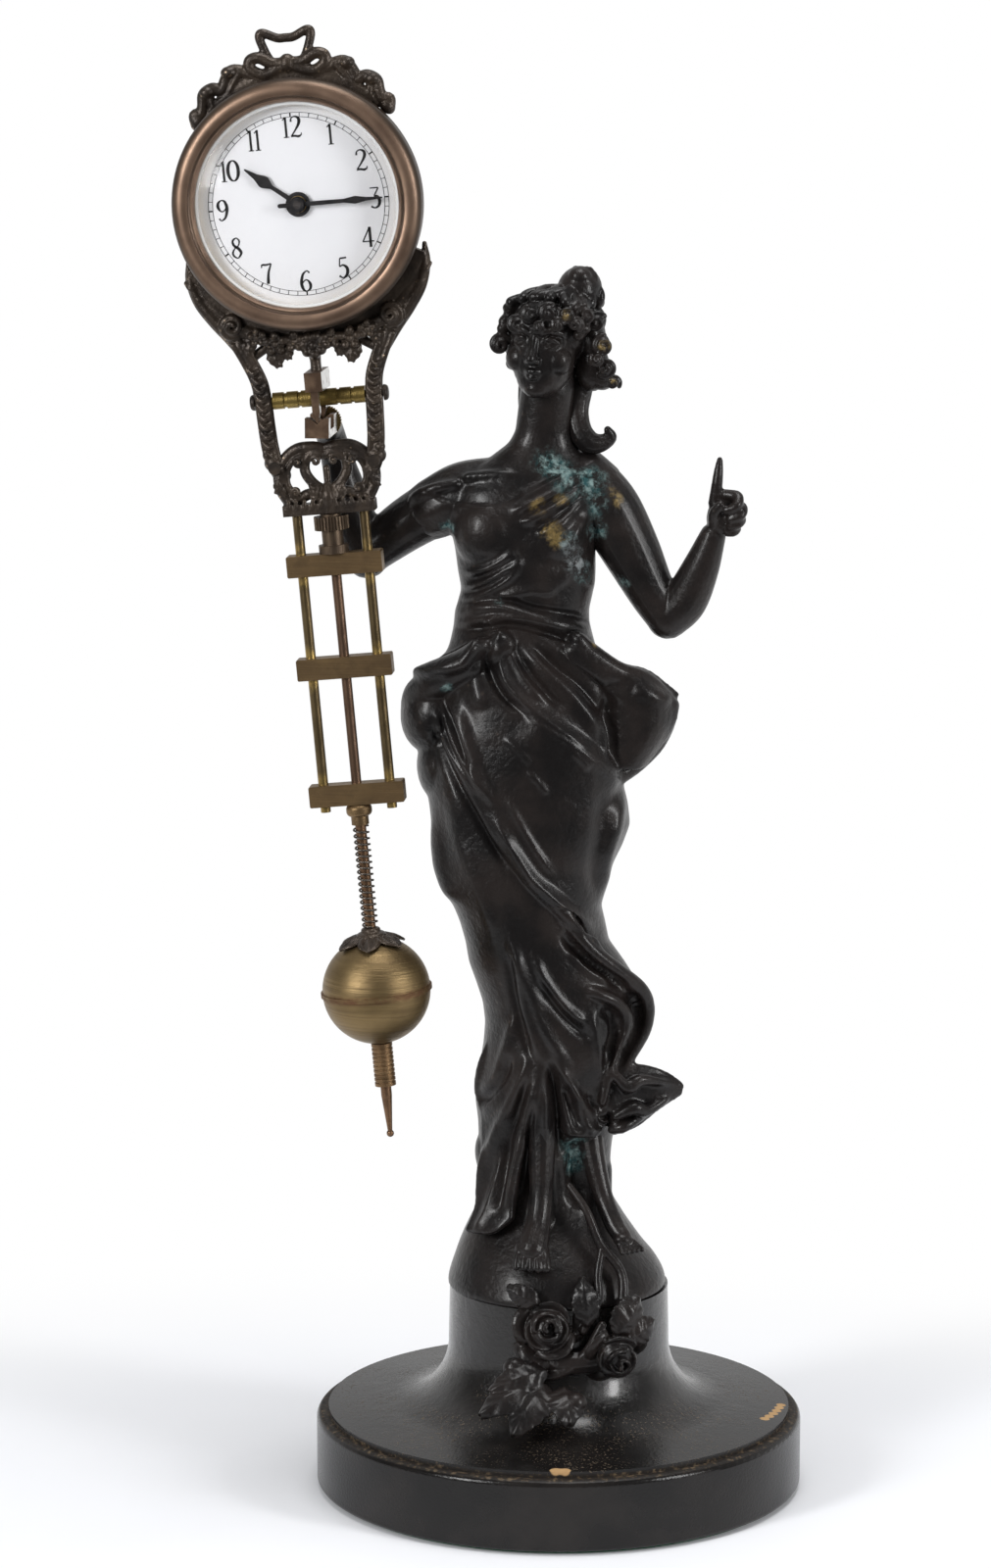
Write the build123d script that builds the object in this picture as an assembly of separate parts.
from build123d import *
import math
import os

# Swing-arm mystery clock. Millimetres, X to the viewer's right, Y away from the viewer, Z up.
# The table is Z = 0 and the base stands centred on the Z axis.

# Clearances
FIT = 0.01  # pieces fixed to one another
RUN = 0.05  # a shaft that turns or slides in its hole
FREE = 0.4  # faces that pass one another

# Turned wooden base
FELT_R = 57.0
FELT_T = 0.8
FOOT_R = 59.5
FOOT_TOP = 18.4
FOOT_LOWER_ROUND = 1.2
FOOT_UPPER_ROUND = 1.6
PLATE_R = 56.6
PLATE_STEP = 1.5
PLATE_SLOPE = 1.3
FLARE_R = 41.0
COLUMN_R = 27.0
COLUMN_START = 37.0
SEAM_Z = 50.5

# Tie rod that draws the figure down on the base
TIE_R = 3.0
TIE_LOW = 2.2
TIE_TOP = 62.0
TIE_NUT_R = 5.0
TIE_NUT_T = 4.4
WASHER_R = 9.0
WASHER_T = 1.2
RECESS_R = 11.0
RECESS_DEPTH = 8.0

# Cast figure, in its own frame turned about Z to look past the clock
FIGURE_YAW = 5.0
WALL = 3.2
CAVITY_TOP = 203.0
WEB_LOW = 56.0
WEB_HIGH = 63.0
VENT_R = 4.0
VENT_X = 11.0
# height, centre x, centre y, half width, half depth
SECTIONS = (
    (SEAM_Z, -0.6, 0.0, 26.7, 26.7),
    (57.0, -1.0, 0.0, 24.0, 24.4),
    (66.0, -2.9, 0.0, 19.4, 20.6),
    (74.0, -3.0, 0.0, 16.6, 17.6),
    (86.0, -2.8, 0.0, 17.2, 17.0),
    (100.0, 0.2, 0.0, 19.8, 17.5),
    (116.0, 2.4, 0.0, 20.6, 17.5),
    (130.0, -2.4, 0.0, 19.4, 17.0),
    (142.0, -6.6, 0.0, 18.4, 16.5),
    (153.0, -9.0, 0.0, 20.8, 17.0),
    (166.0, -7.2, 0.0, 23.6, 18.5),
    (180.0, -7.4, 0.0, 24.6, 18.6),
    (191.0, -8.4, 0.0, 22.6, 17.4),
    (201.0, -9.6, 0.5, 19.0, 14.6),
    (212.0, -9.3, 1.0, 16.4, 11.8),
    (222.0, -7.9, 0.5, 15.9, 11.6),
    (232.0, -8.4, -0.4, 16.8, 12.4),
    (241.0, -8.6, 0.6, 17.4, 11.4),
    (248.0, -8.2, 1.4, 15.6, 9.2),
    (253.5, -6.0, 1.8, 10.4, 7.4),
    (259.0, -4.4, 1.4, 6.9, 6.5),
    (266.0, -3.4, 0.6, 6.2, 6.2),
    (272.0, -2.8, 0.0, 6.2, 6.2),
)
MASS_LEVELS = (-0.97, -0.82, -0.48, 0.0, 0.48, 0.82, 0.97)
# centre x, y, z and half sizes of the rounded masses on the figure
MASSES = {
    "left_drape": ((-29.5, 0.0, 189.0), (8.8, 12.0, 13.0)),
    "right_billow": ((17.0, -2.0, 192.0), (11.0, 12.5, 10.5)),
    "flared_hem": ((19.5, -6.0, 99.0), (9.5, 8.5, 6.5)),
    "right_breast": ((-15.5, -10.4, 235.5), (6.6, 5.6, 6.4)),
    "left_breast": ((-1.5, -10.4, 235.5), (6.6, 5.6, 6.4)),
    "skull": ((-2.2, -0.4, 279.5), (10.0, 11.0, 12.6)),
    "hair": ((0.6, 2.2, 282.5), (11.2, 10.6, 11.0)),
    "bun": ((3.4, 4.2, 292.6), (7.2, 7.4, 6.6)),
    "nape": ((5.6, 4.0, 268.0), (4.2, 4.6, 9.0)),
    "right_foot": ((-7.5, -17.0, 66.5), (4.8, 8.0, 4.0)),
    "left_foot": ((12.5, -12.5, 67.5), (6.0, 6.6, 3.8)),
}

# Main folds of the gown on its front and on its back: x, z, radius along each fold
FRONT_FOLDS = (
    ((-23.0, 178.0, 1.4), (-15.0, 166.0, 2.2), (-8.0, 157.0, 2.4), (0.0, 148.5, 2.4), (8.0, 141.0, 2.2), (14.0, 133.0, 1.6)),
    ((-14.0, 208.0, 1.4), (-11.0, 200.0, 2.2), (-4.0, 193.5, 2.4), (4.0, 187.5, 2.4), (11.0, 180.0, 1.6)),
    ((-13.0, 145.0, 1.4), (-9.5, 134.0, 2.2), (-6.0, 125.0, 2.4), (-1.0, 114.0, 2.4), (5.0, 103.0, 1.6)),
    ((-4.0, 110.0, 1.4), (-5.2, 98.0, 2.2), (-5.2, 86.0, 2.6), (-5.6, 76.0, 2.6), (-6.4, 68.0, 1.8)),
    ((-8.0, 113.0, 1.4), (-12.0, 98.0, 2.2), (-15.4, 86.0, 2.2), (-18.0, 74.0, 1.6)),
    ((7.0, 128.0, 1.4), (12.0, 121.0, 2.6), (14.0, 112.0, 3.0), (11.0, 103.0, 2.4), (7.0, 95.0, 1.6)),
)
BACK_FOLDS = (
    ((-17.0, 205.0, 1.4), (-20.0, 180.0, 2.2), (-18.0, 150.0, 2.2), (-13.0, 118.0, 2.4), (-15.0, 90.0, 2.4), (-18.0, 64.0, 1.6)),
    ((-13.0, 206.0, 1.4), (-13.0, 180.0, 2.2), (-11.0, 150.0, 2.2), (-6.0, 118.0, 2.4), (-7.0, 90.0, 2.4), (-9.0, 62.0, 1.6)),
    ((-8.0, 206.0, 1.4), (-6.0, 180.0, 2.2), (-4.0, 150.0, 2.2), (1.0, 118.0, 2.4), (1.0, 90.0, 2.4), (0.0, 62.0, 1.6)),
    ((-3.0, 205.0, 1.4), (2.0, 180.0, 2.2), (3.0, 150.0, 2.2), (8.0, 118.0, 2.4), (7.0, 90.0, 2.4), (8.0, 64.0, 1.6)),
)
FOLD_SINK = 0.8
FOLD_EDGE = 0.12

# Arms of the figure: x, y, z, radius along each limb
RIGHT_UPPER = ((-24.0, 2.0, 244.0, 8.0), (-35.4, 4.4, 238.0, 7.0), (-46.6, 7.0, 229.6, 5.8))
RIGHT_LOWER = ((-46.6, 7.0, 228.6, 5.9), (-50.6, 6.4, 241.0, 5.2), (-53.6, 5.2, 253.0, 4.1))
WRIST_BEND = (-55.4, 1.2, 260.2, 3.9)
WRIST_R = 3.4
JOINT_SWELL = 0.3
LEFT_UPPER = ((8.5, 1.2, 243.5, 8.0), (17.4, 0.2, 230.5, 7.0), (26.6, -1.0, 214.6, 5.8))
LEFT_LOWER = ((26.6, -1.0, 214.2, 5.9), (32.0, -3.6, 225.5, 5.2), (36.8, -6.4, 237.0, 3.9))
LEFT_FIST = ((38.8, -7.4, 241.2), (4.4, 4.8, 6.4))
LEFT_FINGER = ((38.2, -8.0, 242.0, 1.8), (38.4, -8.4, 249.5, 1.4), (37.8, -8.2, 254.0, 1.0))
DOWEL_R = 1.8
RIGHT_DOWEL = ((-19.5, 1.6, 245.4), (-32.5, 3.7, 239.4))
LEFT_DOWEL = ((3.0, 1.4, 247.0), (13.0, 0.8, 237.5))

# Rose spray on the mound
SPRAY = {
    "rose": ((-2.3, -29.0, 44.6), (7.6, 5.6, 7.4)),
    "second_rose": ((14.2, -26.4, 42.4), (6.2, 5.4, 5.6)),
    "bud": ((-12.4, -28.6, 38.4), (2.6, 2.8, 2.4)),
    "lower_bud": ((1.2, -31.0, 33.0), (3.8, 4.4, 4.4)),
    "leaf": ((7.4, -26.4, 54.0), (4.6, 2.6, 6.4)),
    "right_leaf": ((17.6, -22.6, 51.0), (3.8, 3.0, 5.6)),
    "left_leaf": ((-12.0, -31.4, 31.4), (6.0, 4.0, 2.6)),
    "front_leaf": ((-5.6, -33.4, 29.2), (6.4, 4.6, 3.2)),
}
SPRAY_STEMS = (
    ((11.0, -27.2, 49.0, 1.3), (4.0, -30.4, 39.0, 1.5), (-8.0, -32.0, 32.5, 1.2)),
    ((-2.3, -29.6, 40.0, 1.3), (-8.0, -30.0, 37.6, 1.2), (-12.4, -28.6, 38.4, 1.0)),
    ((4.0, -29.0, 40.0, 1.4), (9.0, -28.2, 41.4, 1.4), (14.2, -26.6, 42.4, 1.4)),
    ((7.4, -27.0, 54.0, 1.3), (12.0, -26.2, 49.5, 1.3), (17.6, -23.4, 50.0, 1.2)),
)

# Swing arm: where it hangs and how far it leans in the photograph
PIVOT = (-55.1, -17.4, 264.0)
ARM_TILT = 5.2

# Knife pivot: fork on the arm, saddle on the figure's wrist
KNIFE_R = 0.15
KNIFE_GAP = 0.07
KNIFE_W = 1.8
KNIFE_SHOULDER = 2.2
FORK_W = 4.1
FORK_LOW = 7.3
FORK_HIGH = 11.8
FORK_FRONT = -8.0
FORK_REAR = 6.0
FRONT_LEG = (-7.7, -5.4)
REAR_LEG = (3.4, 5.7)
STEM_R = 1.3
STEM_TOP = 15.6
SADDLE_W = 5.7
SADDLE_TOP = 1.1
SADDLE_H = 4.7
SADDLE_FRONT = -8.3
SADDLE_REAR = 6.8
SADDLE_SLOT = (-5.2, 1.0)
SADDLE_SLOT_FLOOR = -1.8
VEE_HALF = 1.7
CAP_R = 3.8
CAP_T = 1.2
CAP_TEETH = 36
CAP_NOTCH = 0.25
STUD_R = 1.0
STUD_DROP = 2.1
STUD_FRONT = 2.4
STUD_IN_WRIST = 5.0

# Clock drum, measured from the pivot along the arm; depths are along Y
DRUM_UP = 51.0
FACE_Y = -3.5
DIAL_R = 26.6
DIAL_T = 0.8
FLANGE_R = 27.8
FLANGE_T = 1.2
DRUM_R = 25.0
DRUM_WALL = 0.8
DRUM_DEPTH = 20.0
LEDGE_W = 1.6
LEDGE_T = 1.2
BACK_T = 1.0
BACK_LIP = 2.0
BACK_LIP_W = 1.0
BEZEL_R = 29.2
BEZEL_IN = 24.0
BEZEL_REAR = -1.0
BEZEL_LIP = 0.6
BEZEL_CROWN_R = 26.5
BEZEL_CROWN = 2.6
BEZEL_EDGE = 4.4
GLASS_R = 25.15
GLASS_T = 1.0
GLASS_DOME = 3.0
GLASS_DOME_R = 23.4
RETAINER_T = 2.3

# Movement
PLATE_T = 1.2
PLATE_GAP = 8.6
BACK_PLATE_R = 22.4
PILLAR_R = 1.4
PILLAR_AT = 20.2
PILLAR_ANGLES = (10.0, 125.0, 190.0, 305.0)
SCREW_HEAD_R = 1.6
SCREW_HEAD_T = 0.7
ARBOR_R = 0.7
PIN_R = 0.4
TOOTH_ADD = 0.8
TOOTH_DED = 1.2
TOOTH_ROOT_HALF = 0.24
TOOTH_TIP_HALF = 0.09
WHEEL_T = 0.8
GREAT_TEETH, CENTRE_LEAVES, GREAT_MODULE = 60, 12, 0.35
CENTRE_TEETH, THIRD_LEAVES, CENTRE_MODULE = 64, 8, 0.30
THIRD_TEETH, ESCAPE_LEAVES, THIRD_MODULE = 60, 8, 0.27
CANNON_LEAVES, MINUTE_TEETH, MOTION_MODULE = 10, 30, 0.35
MINUTE_LEAVES, HOUR_TEETH = 8, 32
ESCAPE_TEETH = 34
ESCAPE_R = 4.5
ESCAPE_ROOT = 3.6
ESCAPE_UP = 12.0
BARREL_ANGLE = 225.0
MOTION_ANGLE = 30.0
BARREL_R = 9.4
BARREL_WALL = 0.6
BARREL_FRONT = 1.9
BARREL_T = 5.2
SPRING_COIL_IN = 2.3
SPRING_COIL_PITCH = 0.75
SPRING_COIL_T = 0.35
SPRING_COIL_TURNS = 8
WINDER_R = 1.5
RATCHET_R = 4.2
RATCHET_ROOT = 3.6
RATCHET_TEETH = 18
SHARP_SHARE = 0.42
MILLED_SHARE = 0.3
CLICK_L = 5.0
CLICK_TIP_R = 0.5
CLICK_ROOT_R = 1.2
CLICK_LEAN = 0.6
KEY_SLEEVE_R = 2.4
KEY_SLEEVE_L = 3.4
KEY_W = 14.0
KEY_H = 8.0
KEY_T = 1.6
KEY_HOLE_R = 1.6
KEY_STANDOFF = 0.8
CENTRE_R = 1.0
TIP_R = 0.9
CANNON_R = 1.35
HOUR_PIPE_R = 2.0
ANCHOR_UP = 18.0
ANCHOR_IN = 5.3
ANCHOR_OUT = 6.4
ANCHOR_SPAN = 100.0
PENDULUM_L = 25.0
PENDULUM_R = 4.0
PENDULUM_ROD = 0.8

# Hands, at a quarter past ten
HOUR_ANGLE = 307.5
MINUTE_ANGLE = 90.0
HAND_T = 0.4
HAND_LIFT = 0.6
HOUR_LENGTH = 15.0
HOUR_HUB_R = 2.9
# share of the length, half width
HOUR_SHAPE = ((0.0, 0.6), (0.5, 0.45), (0.64, 1.45), (0.78, 0.7), (0.985, 0.2))
MINUTE_SHAPE = ((-0.21, 0.5), (0.0, 0.55), (0.55, 0.45), (0.68, 0.9), (0.8, 0.45), (0.99, 0.2))
MINUTE_LENGTH = 20.0
MINUTE_HUB_R = 1.9
NUT_R = 1.5
NUT_T = 0.8

# Castings of the arm
CAST_T = 5.6
CASE_GAP = 0.3
CRADLE_R = 33.0
CRADLE_UP = 54.0
CRADLE_TOP = 40.0
SIDE_X = 13.2
SIDE_R = 2.2
LUG = (11.8, -10.4, 2.2)
SIDE_ARM = ((16.5, 27.0, 3.0), (14.6, 18.0, 2.4), (SIDE_X, 11.0, SIDE_R), (SIDE_X, 0.0, SIDE_R),
            (12.9, -5.0, 2.0), LUG)
SWAG = ((0.0, 17.4, 5.0), (7.4, 18.6, 3.4), (13.0, 20.5, 2.6))
SWAG_TIE = ((0.0, 20.0, 3.4), (0.0, 25.0, 3.4))
CREST_ARC = (52.0, 128.0)
CREST_ARC_R = 31.6
CREST_KNOT = (0.0, 83.2, 3.7)
CREST_BOW = ((11.2, 80.8), (8.2, 3.9), (4.6, 1.5), -19.0)
CREST_TAIL = ((20.6, 75.4), (5.0, 2.6), -47.0)
CREST_LOOP = ((0.0, 87.2), (7.2, 4.2), (4.9, 1.9))
CASE_SCREW_R = 0.6
CASE_SCREW_HEAD_R = 1.4
CASE_SCREW_HEAD_T = 0.6
CASE_SCREW_L = 1.0
CREST_SCREW_ANGLES = (66.0, 114.0)
YOKE_SCREW_ANGLES = (232.0, 308.0)
CROSSBAR_UP = 5.2
CROSSBAR_R = 2.0
CROSSBAR_GROOVES = (-8.0, -4.6, 4.6, 8.0)
GROOVE_W = 0.8
GROOVE_D = 0.3
BAR_SCREW_R = 0.9
BAR_SCREW_IN = 3.5
BAR_SCREW_HEAD_R = 1.9
BAR_SCREW_HEAD_T = 1.1

# Pierced scroll bracket
BRACKET_T = 5.0
BRACKET_LOW = -22.4
BRACKET_PLATE_W = 22.0
BRACKET_PLATE_H = 3.6
BRACKET_SCROLL = ((8.3, -15.4), 4.4, 2.0)
BRACKET_TOP_SCROLL = ((6.6, -10.3), 2.8, 1.1)
BRACKET_HEART = ((2.9, -12.2, 3.4), (0.0, -18.6, 1.8))
HEART_HOLE = ((1.9, -12.4, 1.7), (0.0, -16.6, 1.25))
BRACKET_EAR_R = 2.4
EAR_NECK_R = 1.5
BRACKET_PIN_R = 0.9
BRACKET_PIN_HEAD_R = 1.5
BRACKET_PIN_HEAD_T = 0.6

# Gridiron
ROD_R = 1.2
ROD_X = 8.0
ROD_IN = 2.6
BAR_W = 22.8
BAR_H = 5.1
BAR_D = 4.6
BAR_ROUND = 0.4
BAR_UP = {"upper_bar": -34.3, "middle_bar": -59.1, "lower_bar": -89.8}
ROD_NUB = 1.5
CENTRE_STUD_R = 0.95
CENTRE_STUD_TOP = -15.4
CLAMP_TOP = -22.9
CLAMP_KNURL_R = 4.1
CLAMP_KNURL_H = 3.2
CLAMP_WAIST_R = 2.55
CLAMP_FOOT_R = 3.55
CLAMP_FOOT_H = 2.0
CLAMP_TEETH = 32
CLAMP_NOTCH = 0.3

# Bob, its rod and its spring
COLLAR_R = 3.1
COLLAR_NECK_R = 2.1
COLLAR_BEAD_H = 3.0
COLLAR_H = 5.0
BOB_ROD_R = 1.3
BOB_ROD_IN = 2.3
BOB_UP = -138.0
BOB_R = 13.0
BOB_WALL = 0.8
BOB_SEAM_R = 13.4
BOB_SEAM_H = 0.5
CORE_GAP = 0.05
LEAF_T = 0.9
LEAF_R = 7.4
LEAF_KNOB_R = 2.6
LEAF_KNOB_H = 1.6
SPRING_R = 1.68
SPRING_WIRE_R = 0.2
SPRING_TURNS = 13
SPRING_END_GAP = 0.15
SPRING_SAMPLES = 40
SLEEVE_R = 2.55
SLEEVE_H = 10.5
SLEEVE_GROOVES = 9
SLEEVE_GROOVE_W = 0.5
SLEEVE_GROOVE_D = 0.25
BOB_TRAVEL = 2.5
TIP_LOW = -174.4
TIP_NECK_R = 0.5
TIP_BALL_R = 0.9

ARM = Pos(*PIVOT) * Rot(0, -ARM_TILT, 0)
STAND = Rot(0, 0, FIGURE_YAW)
SIDES = (-1, 1)


# Helpers
def y_disc(radius, y0, y1, x=0.0, w=0.0):
    return Pos(x, (y0 + y1) / 2, w) * Rot(90, 0, 0) * Cylinder(radius, y1 - y0)


def y_ring(outer, inner, y0, y1, x=0.0, w=0.0):
    return y_disc(outer, y0, y1, x, w) - y_disc(inner, y0, y1, x, w)


def y_plate(sketch, y0, y1):
    return Pos(0, y1, 0) * Rot(90, 0, 0) * extrude(sketch, y1 - y0)


def z_disc(radius, z0, z1, x=0.0, y=0.0):
    return Pos(x, y, (z0 + z1) / 2) * Cylinder(radius, z1 - z0)


def x_disc(radius, x0, x1, w):
    return Pos((x0 + x1) / 2, 0, w) * Rot(0, 90, 0) * Cylinder(radius, x1 - x0)


def z_turned(curve):
    return revolve(Rot(90, 0, 0) * make_face(curve), Axis.Z)


def y_turned(curve):
    return Pos(0, 0, DRUM_UP) * revolve(make_face(curve), Axis.Y)


def polar(radius, degrees):
    return (radius * math.cos(math.radians(degrees)), radius * math.sin(math.radians(degrees)))


def rounded_mass(entry):
    (x, y, z), (a, b, c) = entry
    rings = [(level, math.sqrt(1.0 - level * level)) for level in MASS_LEVELS]
    return loft([Pos(x, y, z + level * c) * Ellipse(a * width, b * width) for level, width in rings])


def group(place, pieces):
    return Compound(children=[place * piece for piece in pieces])


def limb(stations):
    points = [Vector(*s[:3]) for s in stations]
    side = Vector(0.3, 1.0, 0.1)
    circles = []
    for i, point in enumerate(points):
        along = (points[min(i + 1, len(points) - 1)] - points[max(i - 1, 0)]).normalized()
        side = (side - along * side.dot(along)).normalized()
        circles.append(Plane(origin=point, x_dir=side, z_dir=along) * Circle(stations[i][3]))
    return loft(circles)


def peg(start, end, radius):
    a, b = Vector(*start), Vector(*end)
    middle = Plane(origin=(a + b) * 0.5, z_dir=(b - a).normalized())
    return middle.location * Cylinder(radius, (b - a).length)


def hull_chain(stations, side=1):
    chain = Sketch()
    for (x0, w0, r0), (x1, w1, r1) in zip(stations, stations[1:]):
        ends = (Pos(side * x0, w0) * Circle(r0)).edges() + (Pos(side * x1, w1) * Circle(r1)).edges()
        chain += make_hull(ends)
    return chain


def oval(centre, half, turn=0.0, side=1):
    return Pos(side * centre[0], centre[1]) * Rot(0, 0, side * turn) * Ellipse(*half)


def sector(outer, inner, start, span, up=0.0):
    a = Line(polar(inner, start), polar(outer, start))
    b = CenterArc((0, 0), outer, start, span)
    c = Line(polar(outer, start + span), polar(inner, start + span))
    d = CenterArc((0, 0), inner, start, span)
    return Pos(0, up) * make_face(a + b + c + d)


def notched(radius, root, teeth, tip_share):
    step = 360.0 / teeth
    points = []
    for k in range(teeth):
        points += [polar(root, k * step), polar(radius, k * step + tip_share * step)]
        points += [polar(radius, (k + 1) * step - tip_share * step)]
    return make_face(Polyline(*points, close=True))


def gear(teeth, module, phase, y0, y1, x=0.0, w=0.0):
    pitch_r = teeth * module / 2
    root, tip = pitch_r - TOOTH_DED * module, pitch_r + TOOTH_ADD * module
    step = 360.0 / teeth
    points = []
    for k in range(teeth):
        middle = phase + k * step
        for radius, half in ((root, -TOOTH_ROOT_HALF), (tip, -TOOTH_TIP_HALF),
                             (tip, TOOTH_TIP_HALF), (root, TOOTH_ROOT_HALF)):
            points.append(polar(radius, middle + half * step))
    return Pos(x, 0, w) * y_plate(make_face(Polyline(*points, close=True)), y0, y1)


def meshing_phase(direction, teeth):
    return direction + 180.0 + 180.0 / teeth


def biarc(start, end, tangent0, tangent1):
    chord, both = end - start, tangent0 + tangent1
    a, b, c = both.dot(both) - 4.0, -2.0 * chord.dot(both), chord.dot(chord)
    reach = (-b - math.sqrt(b * b - 4.0 * a * c)) / (2.0 * a)
    joint = (start + tangent0 * reach + end - tangent1 * reach) * 0.5
    return [TangentArc(start, joint, tangent=tangent0), TangentArc(end, joint, tangent=tangent1 * -1.0)]


nodes = {}

# Turned base and felt
tie_hole = z_disc(TIE_R + FREE, 0, SEAM_Z + FELT_T)
felt_top = FELT_T
nodes["felt_pad"] = z_disc(FELT_R, 0, felt_top)
foot = z_disc(FOOT_R, felt_top, FOOT_TOP)
foot = fillet(foot.edges().sort_by(Axis.Z)[:1], FOOT_LOWER_ROUND)
foot = fillet(foot.edges().group_by(Axis.Z)[-1], FOOT_UPPER_ROUND)
recess_top = felt_top + RECESS_DEPTH
nodes["base_foot"] = foot - tie_hole - z_disc(RECESS_R, felt_top, recess_top)
plate_top = FOOT_TOP + PLATE_STEP
flare_low = plate_top + PLATE_SLOPE
flare_tangent = (FLARE_R - PLATE_R, PLATE_SLOPE)
pedestal_outline = (
    Polyline((0, SEAM_Z), (0, FOOT_TOP), (PLATE_R, FOOT_TOP), (PLATE_R, plate_top), (FLARE_R, flare_low))
    + TangentArc((FLARE_R, flare_low), (COLUMN_R, COLUMN_START), tangent=flare_tangent)
    + Polyline((COLUMN_R, COLUMN_START), (SECTIONS[0][3], SEAM_Z), (0, SEAM_Z))
)
pedestal = z_turned(pedestal_outline) - tie_hole

# Tie rod, washer and nut
washer_low = recess_top - WASHER_T
nodes["tie_rod"] = z_disc(TIE_R, TIE_LOW, TIE_TOP)
nodes["tie_washer"] = z_disc(WASHER_R, washer_low, recess_top) - z_disc(TIE_R + FIT, washer_low, recess_top)
tie_nut = Pos(0, 0, washer_low - TIE_NUT_T) * extrude(RegularPolygon(TIE_NUT_R, 6), TIE_NUT_T)
nodes["tie_nut"] = tie_nut - z_disc(TIE_R + FIT, TIE_LOW, washer_low)

# Cast figure: hollow skirt, solid chest and head
def body_loft(rows, inset):
    return loft([Pos(x, y, z) * Ellipse(a - inset, b - inset) for z, x, y, a, b in rows])


def body_row(z):
    for low, high in zip(SECTIONS, SECTIONS[1:]):
        if z <= high[0]:
            share = (z - low[0]) / (high[0] - low[0])
            return [a + share * (b - a) for a, b in zip(low, high)]


def fold(stations, face):
    line = []
    for x, z, radius in stations:
        _, middle, depth, half_width, half_depth = body_row(z)
        reach = math.sqrt(max(1.0 - ((x - middle) / half_width) ** 2, FOLD_EDGE))
        line.append((x, depth + face * (half_depth * reach - FOLD_SINK), z, radius))
    return limb(line)


body = body_loft(SECTIONS, 0.0)
for mass in MASSES.values():
    body += rounded_mass(mass)
for line in FRONT_FOLDS:
    body += fold(line, -1)
for line in BACK_FOLDS:
    body += fold(line, 1)
cavity = body_loft([row for row in SECTIONS if row[0] < CAVITY_TOP], WALL)
web = Pos(0, 0, (WEB_LOW + WEB_HIGH) / 2) * Cylinder(FOOT_R, WEB_HIGH - WEB_LOW)
for x in (-VENT_X, VENT_X):
    web -= z_disc(VENT_R, WEB_LOW, WEB_HIGH, x)
body -= cavity - web
body -= z_disc(TIE_R + FIT, SEAM_Z, TIE_TOP)
body -= Pos(0, 0, SEAM_Z - FOOT_R / 2) * Box(2 * FOOT_R, 2 * FOOT_R, FOOT_R)

# Arms, cut to the shoulders and held by dowels
cap_middle = SADDLE_TOP - SADDLE_H / 2
wrist_end = (STAND.inverse() * Pos(PIVOT[0], PIVOT[1] + SADDLE_REAR + CAP_T, PIVOT[2] + cap_middle)).position
bend = Vector(*WRIST_BEND[:3])
wrist_far = wrist_end + (wrist_end - bend).normalized() * WRIST_R
right_arm = limb(RIGHT_UPPER) + limb(RIGHT_LOWER + (WRIST_BEND, (*wrist_far, WRIST_R)))
right_arm += Pos(*RIGHT_UPPER[-1][:3]) * Sphere(RIGHT_LOWER[0][3] + JOINT_SWELL)
right_arm += Pos(*RIGHT_UPPER[0][:3]) * Sphere(RIGHT_UPPER[0][3] + JOINT_SWELL)
left_arm = limb(LEFT_UPPER) + limb(LEFT_LOWER) + rounded_mass(LEFT_FIST) + limb(LEFT_FINGER)
left_arm += Pos(*LEFT_UPPER[-1][:3]) * Sphere(LEFT_LOWER[0][3] + JOINT_SWELL)
left_arm += Pos(*LEFT_UPPER[0][:3]) * Sphere(LEFT_UPPER[0][3] + JOINT_SWELL)
dowels = [peg(*ends, DOWEL_R) for ends in (RIGHT_DOWEL, LEFT_DOWEL)]
dowel_holes = [peg(*ends, DOWEL_R + FIT) for ends in (RIGHT_DOWEL, LEFT_DOWEL)]
right_arm = right_arm - body - dowel_holes[0]
left_arm = left_arm - body - dowel_holes[1]

# Rose spray, soldered to the mound
spray = Part()
for mass in SPRAY.values():
    spray += rounded_mass(mass)
for stem in SPRAY_STEMS:
    spray += limb(stem)
spray = spray - body - pedestal
for hole in dowel_holes:
    body -= hole
nodes["pedestal"] = STAND * pedestal
nodes["figure_body"] = STAND * body
nodes["left_arm"] = STAND * left_arm
nodes["arm_dowels"] = group(STAND, dowels)
nodes["rose_spray"] = STAND * spray

# Saddle, cap and stud on the wrist
saddle = Pos(0, (SADDLE_FRONT + SADDLE_REAR) / 2, cap_middle) * Box(SADDLE_W, SADDLE_REAR - SADDLE_FRONT, SADDLE_H)
vee_slope = math.hypot(VEE_HALF, SADDLE_TOP) / VEE_HALF
vee_floor = -(KNIFE_R + KNIFE_GAP) * vee_slope
vee = make_face(Polyline((0, vee_floor), (VEE_HALF, SADDLE_TOP), (-VEE_HALF, SADDLE_TOP), close=True))
saddle -= y_plate(vee, SADDLE_FRONT, SADDLE_REAR)
slot_low, slot_high = SADDLE_SLOT
slot_mid = (SADDLE_SLOT_FLOOR + SADDLE_TOP) / 2
saddle -= Pos(0, (slot_low + slot_high) / 2, slot_mid) * Box(
    SADDLE_W, slot_high - slot_low, SADDLE_TOP - SADDLE_SLOT_FLOOR)
cap_rear = SADDLE_REAR + CAP_T
stud_rear = cap_rear + STUD_IN_WRIST
stud_hole = y_disc(STUD_R + FIT, STUD_FRONT, stud_rear, w=-STUD_DROP)
cap = Pos(0, 0, cap_middle) * y_plate(notched(CAP_R, CAP_R - CAP_NOTCH, CAP_TEETH, MILLED_SHARE), SADDLE_REAR, cap_rear)
nodes["pivot_saddle"] = Pos(*PIVOT) * (saddle - stud_hole)
nodes["wrist_cap"] = Pos(*PIVOT) * (cap - stud_hole)
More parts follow.
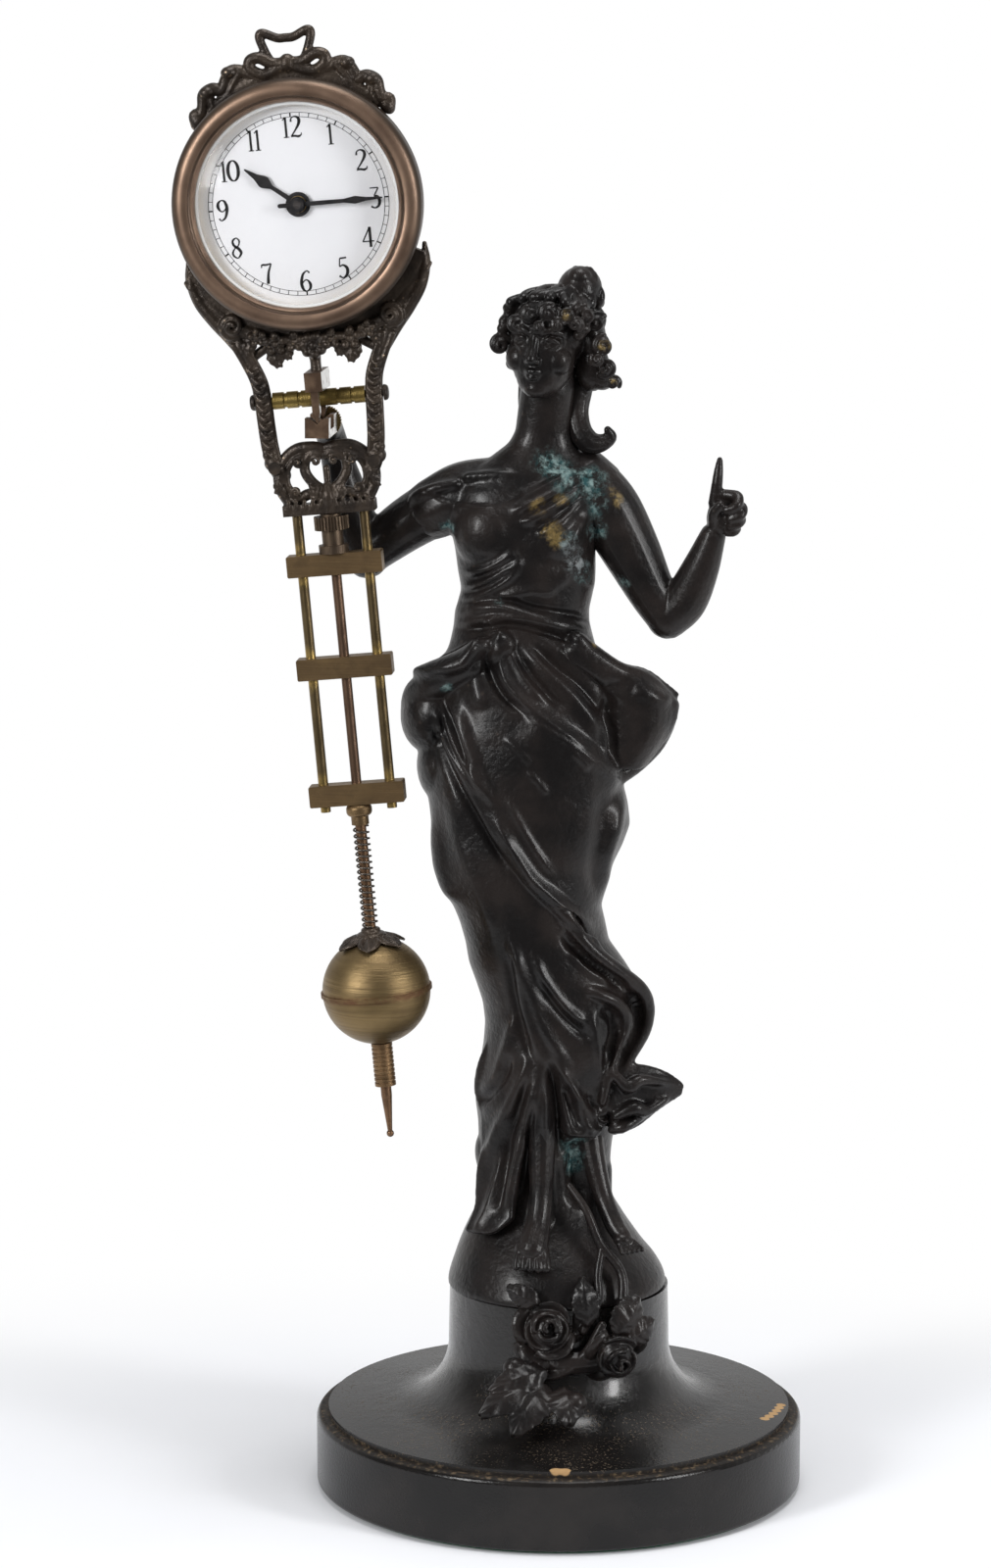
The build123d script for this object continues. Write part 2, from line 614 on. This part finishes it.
nodes["saddle_stud"] = Pos(*PIVOT) * y_disc(STUD_R, STUD_FRONT, stud_rear, w=-STUD_DROP)
wrist_face = Pos(0, cap_rear - FOOT_R / 2, 0) * Box(FOOT_R / 2, FOOT_R, FOOT_R / 2)
nodes["right_arm"] = STAND * right_arm - Pos(*PIVOT) * (stud_hole + wrist_face)

# Clock case: drum, dial, bezel, glass and back
dial_rear = FACE_Y + DIAL_T
flange_rear = dial_rear + FLANGE_T
drum_in = DRUM_R - DRUM_WALL
drum_rear = flange_rear + DRUM_DEPTH
front_plate_y = flange_rear + LEDGE_T + DIAL_T + FLANGE_T
drum = y_ring(DRUM_R, drum_in, dial_rear, drum_rear) + y_ring(FLANGE_R, drum_in, dial_rear, flange_rear)
drum += y_ring(drum_in + FIT, drum_in - LEDGE_W, front_plate_y - LEDGE_T, front_plate_y)
drum = Pos(0, 0, DRUM_UP) * drum
back = y_disc(DRUM_R, drum_rear, drum_rear + BACK_T)
back += y_ring(drum_in - FIT, drum_in - BACK_LIP_W, drum_rear - BACK_LIP, drum_rear)
retainer_front = FACE_Y - RETAINER_T
glass_front = retainer_front - GLASS_T
lip_front = glass_front - BEZEL_LIP
bezel_crown = glass_front - BEZEL_CROWN
bezel_profile = (
    Polyline((BEZEL_IN, glass_front), (BEZEL_IN, lip_front))
    + ThreePointArc((BEZEL_IN, lip_front), (BEZEL_CROWN_R, bezel_crown), (BEZEL_R, BEZEL_REAR - BEZEL_EDGE))
    + Polyline((BEZEL_R, BEZEL_REAR - BEZEL_EDGE), (BEZEL_R, BEZEL_REAR), (FLANGE_R + FIT, BEZEL_REAR),
               (FLANGE_R + FIT, dial_rear), (DIAL_R + FIT, dial_rear), (DIAL_R + FIT, FACE_Y),
               (GLASS_R + FIT, FACE_Y), (GLASS_R + FIT, glass_front), (BEZEL_IN, glass_front))
)
nodes["bezel"] = ARM * y_turned(bezel_profile)
dome_in = GLASS_DOME_R - GLASS_T
dome_front, dome_back = glass_front - GLASS_DOME, retainer_front - GLASS_DOME
outer_ball = (GLASS_DOME_R ** 2 + GLASS_DOME ** 2) / (2 * GLASS_DOME)
inner_ball = (dome_in ** 2 + GLASS_DOME ** 2) / (2 * GLASS_DOME)
glass = (Pos(0, dome_front + outer_ball, 0) * Sphere(outer_ball)) & y_disc(GLASS_DOME_R, dome_front, glass_front)
glass += y_disc(GLASS_R, glass_front, retainer_front)
glass -= (Pos(0, dome_back + inner_ball, 0) * Sphere(inner_ball)) & y_disc(dome_in, dome_back, retainer_front)
nodes["glass"] = ARM * Pos(0, 0, DRUM_UP) * glass
nodes["glass_ring"] = ARM * y_ring(GLASS_R, BEZEL_IN, retainer_front, FACE_Y, w=DRUM_UP)
nodes["dial"] = ARM * y_ring(DIAL_R, HOUR_PIPE_R + FREE, FACE_Y, dial_rear, w=DRUM_UP)

# Movement plates and the places of the arbors, measured from the drum's centre
front_plate_rear = front_plate_y + PLATE_T
back_plate_y = front_plate_rear + PLATE_GAP
back_plate_rear = back_plate_y + PLATE_T
barrel_at = polar((GREAT_TEETH + CENTRE_LEAVES) * GREAT_MODULE / 2, BARREL_ANGLE)
third_reach = (CENTRE_TEETH + THIRD_LEAVES) * CENTRE_MODULE / 2
escape_reach = (THIRD_TEETH + ESCAPE_LEAVES) * THIRD_MODULE / 2
third_angle = math.degrees(math.asin(
    (third_reach ** 2 + ESCAPE_UP ** 2 - escape_reach ** 2) / (2 * third_reach * ESCAPE_UP)))
third_at = polar(third_reach, third_angle)
escape_at = (0.0, ESCAPE_UP)
escape_angle = math.degrees(math.atan2(escape_at[1] - third_at[1], escape_at[0] - third_at[0]))
motion_at = polar((CANNON_LEAVES + MINUTE_TEETH) * MOTION_MODULE / 2, MOTION_ANGLE)
anchor_at = (0.0, ANCHOR_UP)


def plate(radius, y0, holes, screw_angles=()):
    disc = y_disc(radius, y0, y0 + PLATE_T)
    for (x, w), hole_r in holes:
        disc -= y_disc(hole_r + RUN, y0, y0 + PLATE_T, x, w)
    for angle in screw_angles:
        x, w = polar(PILLAR_AT, angle)
        disc -= y_disc(ARBOR_R + FIT, y0, y0 + PLATE_T, x, w)
    return disc


front_holes = [((0, 0), CENTRE_R), (barrel_at, WINDER_R), (third_at, PIN_R), (escape_at, PIN_R), (anchor_at, PIN_R)]
back_holes = [((0, 0), PIN_R), (barrel_at, WINDER_R), (third_at, PIN_R), (escape_at, PIN_R), (anchor_at, ARBOR_R)]
front_plate = plate(drum_in - FIT, front_plate_y, front_holes)
minute_wheel_y = front_plate_y - FREE - WHEEL_T
hour_wheel_y = minute_wheel_y - FREE - WHEEL_T
post_front = hour_wheel_y - FREE
front_plate += y_disc(ARBOR_R, post_front, front_plate_y, *motion_at)
plate_screws = []
thread_y = back_plate_y - 2 * PLATE_T
for angle in PILLAR_ANGLES:
    x, w = polar(PILLAR_AT, angle)
    front_plate += y_disc(PILLAR_R, front_plate_rear, back_plate_y, x, w)
    front_plate -= y_disc(ARBOR_R + FIT, thread_y, back_plate_y, x, w)
    plate_screws.append(y_disc(ARBOR_R, thread_y, back_plate_rear, x, w)
                        + y_disc(SCREW_HEAD_R, back_plate_rear, back_plate_rear + SCREW_HEAD_T, x, w))
nodes["front_plate"] = ARM * Pos(0, 0, DRUM_UP) * front_plate
nodes["back_plate"] = ARM * Pos(0, 0, DRUM_UP) * plate(BACK_PLATE_R, back_plate_y, back_holes, PILLAR_ANGLES)
nodes["plate_screws"] = group(ARM * Pos(0, 0, DRUM_UP), plate_screws)

# Motion work, centre arbor and hands
hour_hand_rear = FACE_Y - HAND_LIFT
hour_hand_front = hour_hand_rear - HAND_T
minute_hand_rear = hour_hand_front - HAND_LIFT
minute_hand_front = minute_hand_rear - HAND_T
centre_wheel_y = front_plate_rear + FREE
great_wheel_y = front_plate_rear + BARREL_FRONT + BARREL_T
cannon_phase = MOTION_ANGLE
centre = y_disc(CENTRE_R, minute_hand_rear, back_plate_y)
centre += y_disc(PIN_R, back_plate_y, back_plate_rear) + y_disc(TIP_R, minute_hand_front - NUT_T, minute_hand_rear)
centre += y_disc(CANNON_R, minute_hand_rear, front_plate_y - RUN)
centre += gear(CANNON_LEAVES, MOTION_MODULE, cannon_phase, minute_wheel_y, front_plate_y - RUN)
centre += gear(CENTRE_TEETH, CENTRE_MODULE, third_angle, centre_wheel_y, centre_wheel_y + WHEEL_T)
centre += gear(CENTRE_LEAVES, GREAT_MODULE, BARREL_ANGLE, great_wheel_y - FREE, great_wheel_y + WHEEL_T + FREE)
nodes["centre_arbor"] = ARM * Pos(0, 0, DRUM_UP) * centre
minute = gear(MINUTE_TEETH, MOTION_MODULE, meshing_phase(MOTION_ANGLE, MINUTE_TEETH),
              minute_wheel_y, minute_wheel_y + WHEEL_T, *motion_at)
minute += gear(MINUTE_LEAVES, MOTION_MODULE, MOTION_ANGLE + 180.0, hour_wheel_y - FREE / 2, minute_wheel_y, *motion_at)
nodes["minute_wheel"] = ARM * Pos(0, 0, DRUM_UP) * (
    minute - y_disc(ARBOR_R + RUN, post_front, front_plate_y, *motion_at))
hour_phase = meshing_phase(MOTION_ANGLE + 180.0, HOUR_TEETH)
hour = gear(HOUR_TEETH, MOTION_MODULE, hour_phase, hour_wheel_y, hour_wheel_y + WHEEL_T)
hour += y_disc(HOUR_PIPE_R, hour_hand_front, hour_wheel_y)
nodes["hour_wheel"] = ARM * Pos(0, 0, DRUM_UP) * (
    hour - y_disc(CANNON_R + RUN, hour_hand_front, hour_wheel_y + WHEEL_T))


def hand(stations, hub_r, bore, angle, y0):
    outline = Circle(hub_r) + hull_chain(stations) - Circle(bore)
    return y_plate(Rot(0, 0, -angle) * outline, y0, y0 + HAND_T)


hour_stations = [(0.0, share * HOUR_LENGTH, half) for share, half in HOUR_SHAPE]
minute_stations = [(0.0, share * MINUTE_LENGTH, half) for share, half in MINUTE_SHAPE]
nodes["hour_hand"] = ARM * Pos(0, 0, DRUM_UP) * hand(
    hour_stations, HOUR_HUB_R, HOUR_PIPE_R + FIT, HOUR_ANGLE, hour_hand_front)
nodes["minute_hand"] = ARM * Pos(0, 0, DRUM_UP) * hand(
    minute_stations, MINUTE_HUB_R, TIP_R + FIT, MINUTE_ANGLE, minute_hand_front)
nodes["hand_nut"] = ARM * y_ring(NUT_R, TIP_R + FIT, minute_hand_front - NUT_T, minute_hand_front, w=DRUM_UP)

# Going train: barrel, third wheel, escape wheel
barrel_y = front_plate_rear + BARREL_FRONT
barrel_rear = barrel_y + BARREL_T
barrel = y_disc(BARREL_R, barrel_y, barrel_rear)
barrel -= y_disc(BARREL_R - BARREL_WALL, barrel_y + BARREL_WALL, barrel_rear - BARREL_WALL)
barrel += gear(GREAT_TEETH, GREAT_MODULE, meshing_phase(BARREL_ANGLE, GREAT_TEETH), barrel_rear, barrel_rear + WHEEL_T)
barrel -= y_disc(WINDER_R + RUN, barrel_y, barrel_rear + WHEEL_T)
barrel_place = ARM * Pos(barrel_at[0], 0, DRUM_UP + barrel_at[1])
nodes["mainspring_barrel"] = barrel_place * barrel
half = SPRING_COIL_T / 2
coil = Curve()
for k in range(2 * SPRING_COIL_TURNS):
    radius = SPRING_COIL_IN + k * SPRING_COIL_PITCH / 2
    middle = (0.0, 0.0) if k % 2 == 0 else (SPRING_COIL_PITCH / 2, 0.0)
    start = 0.0 if k % 2 == 0 else 180.0
    coil += CenterArc(middle, radius - half, start, 180.0)
    coil += CenterArc(middle, radius + half, start, 180.0)
coil_out = SPRING_COIL_IN + SPRING_COIL_TURNS * SPRING_COIL_PITCH
coil += Line((SPRING_COIL_IN - half, 0), (SPRING_COIL_IN + half, 0)) + Line((coil_out - half, 0), (coil_out + half, 0))
coil_gap = BARREL_WALL + FREE
nodes["mainspring"] = barrel_place * y_plate(make_face(coil), barrel_y + coil_gap, barrel_rear - coil_gap)


def wheel_set(at, wheel, pinion):
    arbor = y_disc(ARBOR_R, front_plate_rear + RUN, back_plate_y - RUN)
    arbor += y_disc(PIN_R, front_plate_y, back_plate_rear)
    return ARM * Pos(at[0], 0, DRUM_UP + at[1]) * (arbor + wheel + pinion)


third_y = centre_wheel_y + WHEEL_T + 2 * FREE
third_pinion = gear(THIRD_LEAVES, CENTRE_MODULE, meshing_phase(third_angle, THIRD_LEAVES),
                    centre_wheel_y - FREE / 2, centre_wheel_y + WHEEL_T + FREE / 2)
third_wheel = gear(THIRD_TEETH, THIRD_MODULE, escape_angle, third_y, third_y + WHEEL_T)
nodes["third_wheel"] = wheel_set(third_at, third_wheel, third_pinion)
escape_y = third_y + WHEEL_T + 2 * FREE
escape_pinion = gear(ESCAPE_LEAVES, THIRD_MODULE, meshing_phase(escape_angle, ESCAPE_LEAVES),
                     third_y - FREE / 2, third_y + WHEEL_T + FREE / 2)
escape_wheel = y_plate(notched(ESCAPE_R, ESCAPE_ROOT, ESCAPE_TEETH, SHARP_SHARE), escape_y, escape_y + WHEEL_T)
nodes["escape_wheel"] = wheel_set(escape_at, escape_wheel, escape_pinion)

# Anchor and inner pendulum
anchor = Pos(0, 0, ESCAPE_UP) * y_plate(
    sector(ANCHOR_OUT, ANCHOR_IN, 90.0 - ANCHOR_SPAN / 2, ANCHOR_SPAN), escape_y, escape_y + WHEEL_T)
pendulum_y = back_plate_rear + SCREW_HEAD_T + FREE
pendulum_rear = pendulum_y + 2 * PENDULUM_ROD
anchor_arbor = y_disc(ARBOR_R, front_plate_rear + RUN, pendulum_rear) + y_disc(PIN_R, front_plate_y, front_plate_rear + RUN)
nodes["pallet_anchor"] = ARM * Pos(0, 0, DRUM_UP) * (anchor + Pos(anchor_at[0], 0, anchor_at[1]) * anchor_arbor)
pendulum = y_disc(2 * ARBOR_R, pendulum_y, pendulum_rear) + y_disc(PENDULUM_R, pendulum_y, pendulum_rear, w=-PENDULUM_L)
pendulum_mid = (pendulum_y + pendulum_rear) / 2
pendulum += Pos(0, pendulum_mid, -PENDULUM_L / 2) * Box(PENDULUM_ROD, PENDULUM_ROD, PENDULUM_L)
pendulum -= y_disc(ARBOR_R + FIT, pendulum_y, pendulum_rear)
nodes["inner_pendulum"] = ARM * Pos(anchor_at[0], 0, DRUM_UP + anchor_at[1]) * pendulum

# Winding arbor with its ratchet, the click and the key
key_y = drum_rear + BACK_T + KEY_STANDOFF
key_rear = key_y + KEY_SLEEVE_L
ratchet_y = front_plate_y - FREE - WHEEL_T
winder = y_disc(WINDER_R, ratchet_y, key_rear)
winder += y_plate(notched(RATCHET_R, RATCHET_ROOT, RATCHET_TEETH, SHARP_SHARE), ratchet_y, ratchet_y + WHEEL_T)
nodes["winding_arbor"] = barrel_place * winder
key = y_disc(KEY_SLEEVE_R, key_y, key_rear) - y_disc(WINDER_R + FIT, key_y, key_rear)
key_plate = Pos(0, key_rear + KEY_H / 2, 0) * Box(KEY_W, KEY_H, KEY_T)
key_plate = fillet(key_plate.edges().filter_by(Axis.Z), KEY_H / 3)
for side in SIDES:
    key_plate -= Pos(side * KEY_W / 4, key_rear + KEY_H / 2, 0) * Cylinder(KEY_HOLE_R, KEY_T)
nodes["winding_key"] = barrel_place * (key + key_plate)
click_x = RATCHET_R + FREE + CLICK_TIP_R
click = hull_chain(((click_x, 0.0, CLICK_TIP_R), (click_x + CLICK_LEAN, -CLICK_L, CLICK_ROOT_R)))
click_part = y_plate(click, ratchet_y, ratchet_y + WHEEL_T)
click_part += y_disc(ARBOR_R, ratchet_y, front_plate_y, click_x + CLICK_LEAN, -CLICK_L)
nodes["click"] = barrel_place * click_part
nodes["back_cover"] = ARM * Pos(0, 0, DRUM_UP) * (
    back - y_disc(WINDER_R + FREE, drum_rear, drum_rear + BACK_T, *barrel_at))

# Yoke: cradle under the drum, two side arms, floral swag
cast_half = CAST_T / 2
cast_front = BEZEL_REAR + CASE_GAP
cradle = Pos(0, CRADLE_UP) * Circle(CRADLE_R) - Pos(0, DRUM_UP) * Circle(DRUM_R + FIT)
cradle -= Pos(0, CRADLE_TOP + CRADLE_R) * Rectangle(3 * CRADLE_R, 2 * CRADLE_R)
yoke_sketch = cradle + hull_chain(SWAG_TIE)
for side in SIDES:
    yoke_sketch += hull_chain(SIDE_ARM, side) + hull_chain(SWAG, side)
yoke_sketch -= Pos(0, DRUM_UP) * Circle(DRUM_R + FIT)
yoke = y_plate(yoke_sketch, -cast_half, cast_half)
yoke -= y_disc(BEZEL_R + CASE_GAP, -CAST_T, cast_front, w=DRUM_UP)
yoke -= z_disc(STEM_R + FIT, FORK_HIGH, STEM_TOP)
lug_x, lug_up, lug_r = LUG
ear_cut = BRACKET_EAR_R + FREE
for side in SIDES:
    yoke -= x_disc(BAR_SCREW_R + FIT, side * SIDE_X - SIDE_R, side * SIDE_X + SIDE_R, CROSSBAR_UP)
    yoke -= y_disc(ear_cut, 0.0, CAST_T, side * lug_x, lug_up)
    yoke -= y_disc(BRACKET_PIN_R + FIT, -CAST_T, CAST_T, side * lug_x, lug_up)

# Crest: bow knot with a loop
crest_sketch = sector(CREST_ARC_R, DRUM_R + FIT, CREST_ARC[0], CREST_ARC[1] - CREST_ARC[0], DRUM_UP)
loop_at, loop_out, loop_in = CREST_LOOP
crest_sketch += oval(loop_at, loop_out) - oval(loop_at, loop_in)
bow_at, bow_out, bow_in, bow_turn = CREST_BOW
tail_at, tail_half, tail_turn = CREST_TAIL
for side in SIDES:
    crest_sketch += oval(tail_at, tail_half, tail_turn, side)
    crest_sketch += oval(bow_at, bow_out, bow_turn, side)
    crest_sketch -= oval(bow_at, bow_in, bow_turn, side)
crest_sketch += Pos(*CREST_KNOT[:2]) * Circle(CREST_KNOT[2])
crest = y_plate(crest_sketch, cast_front, cast_half)

# Radial case screws through the castings into the drum
case_screws = []
screw_y = (cast_front + cast_half) / 2
for angles, casting_r in ((CREST_SCREW_ANGLES, CREST_ARC_R), (YOKE_SCREW_ANGLES, BEZEL_R)):
    for angle in angles:
        place = Pos(0, screw_y, DRUM_UP) * Rot(0, 90.0 - angle, 0)
        seat = casting_r - CASE_SCREW_HEAD_T
        end = drum_in - CASE_SCREW_L
        case_screws.append(place * (z_disc(CASE_SCREW_R, end, seat)
                                    + z_disc(CASE_SCREW_HEAD_R, seat - CASE_SCREW_HEAD_T, seat)))
        bore = place * (z_disc(CASE_SCREW_R + FIT, end, seat)
                        + z_disc(CASE_SCREW_HEAD_R + FIT, seat - CASE_SCREW_HEAD_T, casting_r + CAST_T))
        drum -= bore
        if casting_r == BEZEL_R:
            yoke -= bore
        else:
            crest -= bore
nodes["drum_case"] = ARM * drum
nodes["yoke"] = ARM * yoke
nodes["crest"] = ARM * crest
nodes["case_screws"] = group(ARM, case_screws)

# Crossbar with its two screws
inner_x = SIDE_X - SIDE_R
crossbar = x_disc(CROSSBAR_R, -inner_x, inner_x, CROSSBAR_UP)
for x in CROSSBAR_GROOVES:
    ring = x_disc(CROSSBAR_R, x - GROOVE_W / 2, x + GROOVE_W / 2, CROSSBAR_UP)
    crossbar -= ring - x_disc(CROSSBAR_R - GROOVE_D, x - GROOVE_W / 2, x + GROOVE_W / 2, CROSSBAR_UP)
bar_screws = []
outer_x = SIDE_X + SIDE_R
for side in SIDES:
    near, far = sorted((side * (inner_x - BAR_SCREW_IN), side * outer_x))
    crossbar -= x_disc(BAR_SCREW_R + FIT, near, far, CROSSBAR_UP)
    head0, head1 = sorted((side * outer_x, side * (outer_x + BAR_SCREW_HEAD_T)))
    head = x_disc(BAR_SCREW_HEAD_R, head0, head1, CROSSBAR_UP)
    head = fillet(head.edges().group_by(Axis.X)[-1 if side > 0 else 0], BAR_SCREW_HEAD_T * 0.8)
    bar_screws.append(x_disc(BAR_SCREW_R, near, far, CROSSBAR_UP) + head)
nodes["crossbar"] = ARM * crossbar
nodes["crossbar_screws"] = group(ARM, bar_screws)

# Pivot fork with two knife legs
fork = Pos(0, (FORK_FRONT + FORK_REAR) / 2, (FORK_LOW + FORK_HIGH) / 2) * Box(
    FORK_W, FORK_REAR - FORK_FRONT, FORK_HIGH - FORK_LOW)
fork += z_disc(STEM_R, FORK_HIGH, STEM_TOP)
knife_top = [(-KNIFE_W / 2, KNIFE_SHOULDER), (-KNIFE_W / 2, FORK_HIGH), (KNIFE_W / 2, FORK_HIGH),
             (KNIFE_W / 2, KNIFE_SHOULDER)]
leg_sketch = make_hull(Circle(KNIFE_R).edges() + Polyline(*knife_top, close=True).edges())
for y0, y1 in (FRONT_LEG, REAR_LEG):
    fork += y_plate(leg_sketch, y0, y1)
nodes["pivot_fork"] = ARM * fork

# Pierced scroll bracket with its pins
bracket_half = BRACKET_T / 2
bracket_plate_mid = BRACKET_LOW + BRACKET_PLATE_H / 2
bracket_sketch = Pos(0, bracket_plate_mid) * RectangleRounded(BRACKET_PLATE_W, BRACKET_PLATE_H, BRACKET_PLATE_H / 4)
for side in SIDES:
    for (x, w), outer, inner in (BRACKET_SCROLL, BRACKET_TOP_SCROLL):
        bracket_sketch += Pos(side * x, w) * Circle(outer) - Pos(side * x, w) * Circle(inner)
    bracket_sketch += hull_chain(BRACKET_HEART, side)
for side in SIDES:
    bracket_sketch -= hull_chain(HEART_HOLE, side)
    for (x, w), outer, inner in (BRACKET_SCROLL, BRACKET_TOP_SCROLL):
        bracket_sketch -= Pos(side * x, w) * Circle(inner)
bracket = y_plate(bracket_sketch, -bracket_half, bracket_half)
bracket -= z_disc(ROD_R + FIT, BRACKET_LOW, HEART_HOLE[1][1])
bracket_pins = []
for side in SIDES:
    ear = Pos(side * lug_x, lug_up) * Circle(BRACKET_EAR_R) + hull_chain(
        ((lug_x, lug_up, EAR_NECK_R), (*BRACKET_TOP_SCROLL[0], EAR_NECK_R)), side)
    bracket -= y_disc(lug_r + FREE, -CAST_T, 0.0, side * lug_x, lug_up)
    bracket += y_plate(ear, 0.0, bracket_half)
    bracket -= y_disc(BRACKET_PIN_R + FIT, -CAST_T, CAST_T, side * lug_x, lug_up)
    bracket -= z_disc(ROD_R + FIT, BRACKET_LOW, BRACKET_LOW + ROD_IN, side * ROD_X)
    bracket_pins.append(y_disc(BRACKET_PIN_R, -cast_half, bracket_half, side * lug_x, lug_up)
                        + y_disc(BRACKET_PIN_HEAD_R, -cast_half - BRACKET_PIN_HEAD_T, -cast_half,
                                 side * lug_x, lug_up))
nodes["scroll_bracket"] = ARM * bracket
nodes["bracket_pins"] = group(ARM, bracket_pins)

# Gridiron: bars, rods and the knurled clamp nut
bar_half = BAR_H / 2
lower_up = BAR_UP["lower_bar"]
upper_up = BAR_UP["upper_bar"]
rods = [z_disc(ROD_R, lower_up - bar_half - ROD_NUB, BRACKET_LOW + ROD_IN, side * ROD_X) for side in SIDES]
nodes["outer_rods"] = group(ARM, rods)
centre_rod = z_disc(ROD_R, lower_up, BRACKET_LOW) + z_disc(CENTRE_STUD_R, BRACKET_LOW, CENTRE_STUD_TOP)
nodes["centre_rod"] = ARM * centre_rod
for name, up in BAR_UP.items():
    bar = Pos(0, 0, up) * Box(BAR_W, BAR_D, BAR_H)
    bar = fillet(bar.edges().filter_by(Axis.Y), BAR_ROUND)
    for x in (-ROD_X, ROD_X):
        bar -= z_disc(ROD_R + FIT, up - bar_half, up + bar_half, x)
    if name == "lower_bar":
        bar -= z_disc(ROD_R + FIT, up, up + bar_half) + z_disc(BOB_ROD_R + FIT, up - bar_half, up)
    else:
        bar -= z_disc(ROD_R + FIT, up - bar_half, up + bar_half)
    nodes[name] = ARM * bar
clamp_low = upper_up + bar_half
knurl = Pos(0, 0, CLAMP_TOP - CLAMP_KNURL_H) * extrude(
    notched(CLAMP_KNURL_R, CLAMP_KNURL_R - CLAMP_NOTCH, CLAMP_TEETH, MILLED_SHARE), CLAMP_KNURL_H)
clamp = knurl + z_disc(CLAMP_WAIST_R, clamp_low, CLAMP_TOP) + z_disc(CLAMP_FOOT_R, clamp_low, clamp_low + CLAMP_FOOT_H)
clamp += z_disc(CLAMP_WAIST_R, CLAMP_TOP, BRACKET_LOW)
nodes["clamp_nut"] = ARM * (clamp - z_disc(ROD_R + FIT, clamp_low, BRACKET_LOW))

# Collar and bob rod
collar_top = lower_up - bar_half
collar_low = collar_top - COLLAR_H
collar = z_disc(COLLAR_NECK_R, collar_low, collar_top)
bead = z_disc(COLLAR_R, collar_top - COLLAR_BEAD_H, collar_top)
collar += fillet(bead.edges(), COLLAR_BEAD_H * 0.4)
nodes["rod_collar"] = ARM * (collar - z_disc(BOB_ROD_R + FIT, collar_low, collar_top))
sleeve_top = BOB_UP - BOB_R
sleeve_low = sleeve_top - SLEEVE_H
taper_top = sleeve_low - BOB_TRAVEL
ball_up = TIP_LOW + TIP_BALL_R
bob_rod = z_disc(BOB_ROD_R, taper_top, lower_up) + Pos(0, 0, ball_up) * Sphere(TIP_BALL_R)
bob_rod += Pos(0, 0, (taper_top + ball_up) / 2) * Cone(TIP_NECK_R, BOB_ROD_R, taper_top - ball_up)
nodes["bob_rod"] = ARM * bob_rod

# Bob: two shells, weight and leaf cap, all sliding on the rod
rod_way = z_disc(BOB_ROD_R + RUN, sleeve_low, collar_low)
shell = Sphere(BOB_R) - Sphere(BOB_R - BOB_WALL)
seam = z_disc(BOB_SEAM_R, -BOB_SEAM_H, BOB_SEAM_H) - z_disc(BOB_R - BOB_WALL, -BOB_SEAM_H, BOB_SEAM_H)
shell += seam
upper_half = Pos(0, 0, BOB_R) * Box(3 * BOB_R, 3 * BOB_R, 2 * BOB_R)
lower_half = Pos(0, 0, -BOB_R) * Box(3 * BOB_R, 3 * BOB_R, 2 * BOB_R)
leaf_edge = math.sqrt((BOB_R + LEAF_T) ** 2 - LEAF_R ** 2)
knob_top = BOB_R + LEAF_T + LEAF_KNOB_H
leaf = Sphere(BOB_R + LEAF_T) + z_disc(LEAF_KNOB_R, BOB_R, knob_top) - Sphere(BOB_R)
leaf = leaf & z_disc(LEAF_R, leaf_edge - LEAF_T, knob_top)
for name, piece in (("bob_upper", shell & upper_half), ("bob_lower", shell & lower_half),
                    ("bob_weight", Sphere(BOB_R - BOB_WALL - CORE_GAP)), ("bob_leaf_cap", leaf)):
    nodes[name] = ARM * (Pos(0, 0, BOB_UP) * piece - rod_way)
sleeve = z_disc(SLEEVE_R, sleeve_low, sleeve_top)
for k in range(SLEEVE_GROOVES):
    groove_mid = sleeve_low + (k + 1) * SLEEVE_H / (SLEEVE_GROOVES + 1)
    low, high = groove_mid - SLEEVE_GROOVE_W / 2, groove_mid + SLEEVE_GROOVE_W / 2
    sleeve -= z_disc(SLEEVE_R, low, high) - z_disc(SLEEVE_R - SLEEVE_GROOVE_D, low, high)
nodes["rating_sleeve"] = ARM * (sleeve - rod_way)

# Compression spring on the rod, one tube of half-turn biarcs
spring_low = BOB_UP + knob_top + SPRING_WIRE_R + SPRING_END_GAP
spring_high = collar_low - SPRING_WIRE_R - SPRING_END_GAP
pitch = (spring_high - spring_low) / SPRING_TURNS
climb = Vector(0, 0, pitch / (2 * math.pi * SPRING_R))
stations, tangents = [], []
for k in range(2 * SPRING_TURNS + 1):
    turn = math.pi * k
    stations.append(Vector(SPRING_R * math.cos(turn), SPRING_R * math.sin(turn), spring_low + k * pitch / 2))
    tangents.append((Vector(-math.sin(turn), math.cos(turn), 0) + climb).normalized())
arcs = []
for k in range(2 * SPRING_TURNS):
    arcs += biarc(stations[k], stations[k + 1], tangents[k], tangents[k + 1])
spring_path = Wire([arc.edge() for arc in arcs])
spring_section = Plane(origin=stations[0], z_dir=tangents[0]) * Circle(SPRING_WIRE_R)
nodes["bob_spring"] = ARM * sweep(spring_section, path=spring_path)
count = SPRING_SAMPLES * SPRING_TURNS
samples = [spring_path @ (i / count) for i in range(count + 1)]
least = min((samples[i] - samples[j]).length for i in range(count)
            for j in range(i + SPRING_SAMPLES // 2, min(i + 2 * SPRING_SAMPLES, count + 1)))
print("spring: least gap to itself %.2f mm over %d turns" % (least - 2 * SPRING_WIRE_R, SPRING_TURNS))

os.makedirs("parts", exist_ok=True)
for name, shape in nodes.items():
    export_step(shape, os.path.join("parts", name + ".step"))
    print("%-18s %9.1f mm3" % (name, shape.volume))
